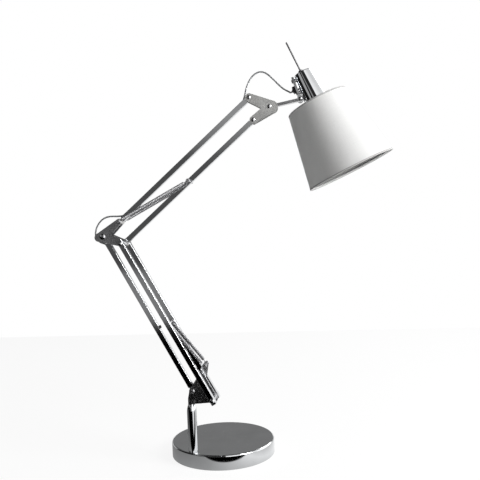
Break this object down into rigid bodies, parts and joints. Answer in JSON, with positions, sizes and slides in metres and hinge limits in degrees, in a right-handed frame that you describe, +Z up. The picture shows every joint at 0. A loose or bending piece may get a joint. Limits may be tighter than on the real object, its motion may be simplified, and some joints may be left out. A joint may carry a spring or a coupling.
{
  "type": "desk lamp",
  "caption": "Desk lamp with a round weighted base, swivel post, spring-balanced two-stage parallelogram arm and a conical white shade.",
  "frame": {"origin": "centre of the base's underside, on the table", "axes": "+Z up, +X from the post towards the shade, -Y the side of the base where the post stands; the arms move parallel to X and Z"},
  "size_m": [0.4971, 0.229, 0.6929],
  "materials": {
    "chrome": "polished chrome plate",
    "dark_plate": "nickel plated steel plate",
    "head_bracket": "fine satin nickel",
    "steel": "turned steel",
    "bolts": "dark plated steel",
    "spring_steel": "bright spring wire",
    "iron": "rough casting",
    "felt": "pressed felt",
    "nylon": "moulded nylon",
    "rubber": "moulded rubber",
    "lead": "clear flexible sleeve over two conductors",
    "holder": "white phenolic",
    "shade": "white cloth laminated on a stiff liner",
    "wire": "white powder coat",
    "glass": "clear bulb glass",
    "cap": "rolled aluminium cap"
  },
  "bodies": {
    "base": {"base_cover": "chrome", "base_weight": "iron", "base_felt": "felt", "cord_grommet": "rubber", "post": "chrome", "post_bush": "nylon", "post_nipple": "steel", "set_screw": "steel", "base_lead": "lead"},
    "shoulder": {"stem": "steel", "shoulder_plates": "dark_plate", "stem_rivets": "steel", "shoulder_rear_pin": "bolts", "shoulder_front_pin": "chrome", "shoulder_spacers": "chrome", "shoulder_washers": "nylon", "ear_pin": "steel", "shoulder_lead": "lead"},
    "lower_rear_bar": {"lower_rear_tube": "chrome", "lower_rear_lugs": "steel", "rubber_stop": "rubber", "elbow_lead_low": "lead"},
    "lower_front_bars": {"lower_front_tubes": "chrome", "lower_front_plugs": "chrome", "lower_spring_pin": "steel", "lower_springs": "spring_steel"},
    "elbow": {"elbow_plates": "dark_plate", "elbow_rear_pin": "bolts", "elbow_top_pin": "steel", "elbow_front_pin": "chrome", "elbow_spacers": "chrome", "elbow_washers": "nylon", "elbow_lead_high": "lead"},
    "upper_top_bar": {"upper_top_tube": "chrome", "upper_top_lugs": "steel", "head_lead_start": "lead"},
    "upper_bottom_bar": {"upper_bottom_tube": "chrome", "upper_bottom_lugs": "steel", "upper_spring_pin": "steel", "upper_springs": "spring_steel"},
    "head_bracket": {"head_plates": "head_bracket", "bracket_pins": "bolts", "bracket_washers": "nylon", "head_lead_mid": "lead"},
    "neck": {"neck_link": "chrome"},
    "head": {"head_strap": "chrome", "head_pin": "bolts", "strap_screws": "steel", "cord_clamp": "rubber", "head_lead_end": "lead", "holder_cup": "chrome", "handle_rod": "chrome", "handle_collar": "chrome", "lamp_holder": "holder", "holder_ring": "holder", "shade_hoops": "wire", "shade_carrier": "wire", "shade_cover": "shade", "bulb_cap": "cap", "bulb_glass": "glass"}
  },
  "joints": [
    {"name": "base_swivel", "type": "hinge", "parent": "base", "child": "shoulder", "pos_m": [-0.042, -0.066, 0.103], "axis": [0, 0, 1], "range_deg": [-170, 170]},
    {"name": "lower_arm", "type": "hinge", "parent": "shoulder", "child": "lower_rear_bar", "pos_m": [-0.038, -0.066, 0.1264], "axis": [0, 1, 0], "range_deg": [-20, 45], "deforming": ["shoulder_lead"]},
    {"name": "lower_arm_front", "type": "hinge", "parent": "shoulder", "child": "lower_front_bars", "pos_m": [-0.00323, -0.066, 0.11374], "axis": [0, 1, 0], "range_deg": [-20, 45], "deforming": ["lower_springs"]},
    {"name": "elbow_level", "type": "hinge", "parent": "lower_rear_bar", "child": "elbow", "pos_m": [-0.18041, -0.066, 0.3876], "axis": [0, 1, 0], "range_deg": [-45, 20], "deforming": ["elbow_lead_low"]},
    {"name": "upper_arm", "type": "hinge", "parent": "elbow", "child": "upper_top_bar", "pos_m": [-0.15137, -0.066, 0.4118], "axis": [0, 1, 0], "range_deg": [-35, 55], "deforming": ["elbow_lead_high"]},
    {"name": "upper_arm_bottom", "type": "hinge", "parent": "elbow", "child": "upper_bottom_bar", "pos_m": [-0.14564, -0.066, 0.37494], "axis": [0, 1, 0], "range_deg": [-35, 55], "deforming": ["upper_springs"]},
    {"name": "head_level", "type": "hinge", "parent": "upper_top_bar", "child": "head_bracket", "pos_m": [0.07331, -0.066, 0.60573], "axis": [0, 1, 0], "range_deg": [-55, 35], "deforming": ["head_lead_start"]},
    {"name": "neck_tilt", "type": "hinge", "parent": "head_bracket", "child": "neck", "pos_m": [0.10612, -0.066, 0.5893], "axis": [0, 1, 0], "range_deg": [-35, 20], "deforming": ["head_lead_mid"]},
    {"name": "head_tilt", "type": "hinge", "parent": "neck", "child": "head", "pos_m": [0.15673, -0.066, 0.59831], "axis": [0, 1, 0], "range_deg": [-45, 28], "deforming": ["head_lead_end"]}
  ],
  "couplings": [
    {"joint": "lower_arm_front", "follows": "lower_arm", "ratio": 1},
    {"joint": "elbow_level", "follows": "lower_arm", "ratio": -1},
    {"joint": "upper_arm_bottom", "follows": "upper_arm", "ratio": 1},
    {"joint": "head_level", "follows": "upper_arm", "ratio": -1}
  ]
}
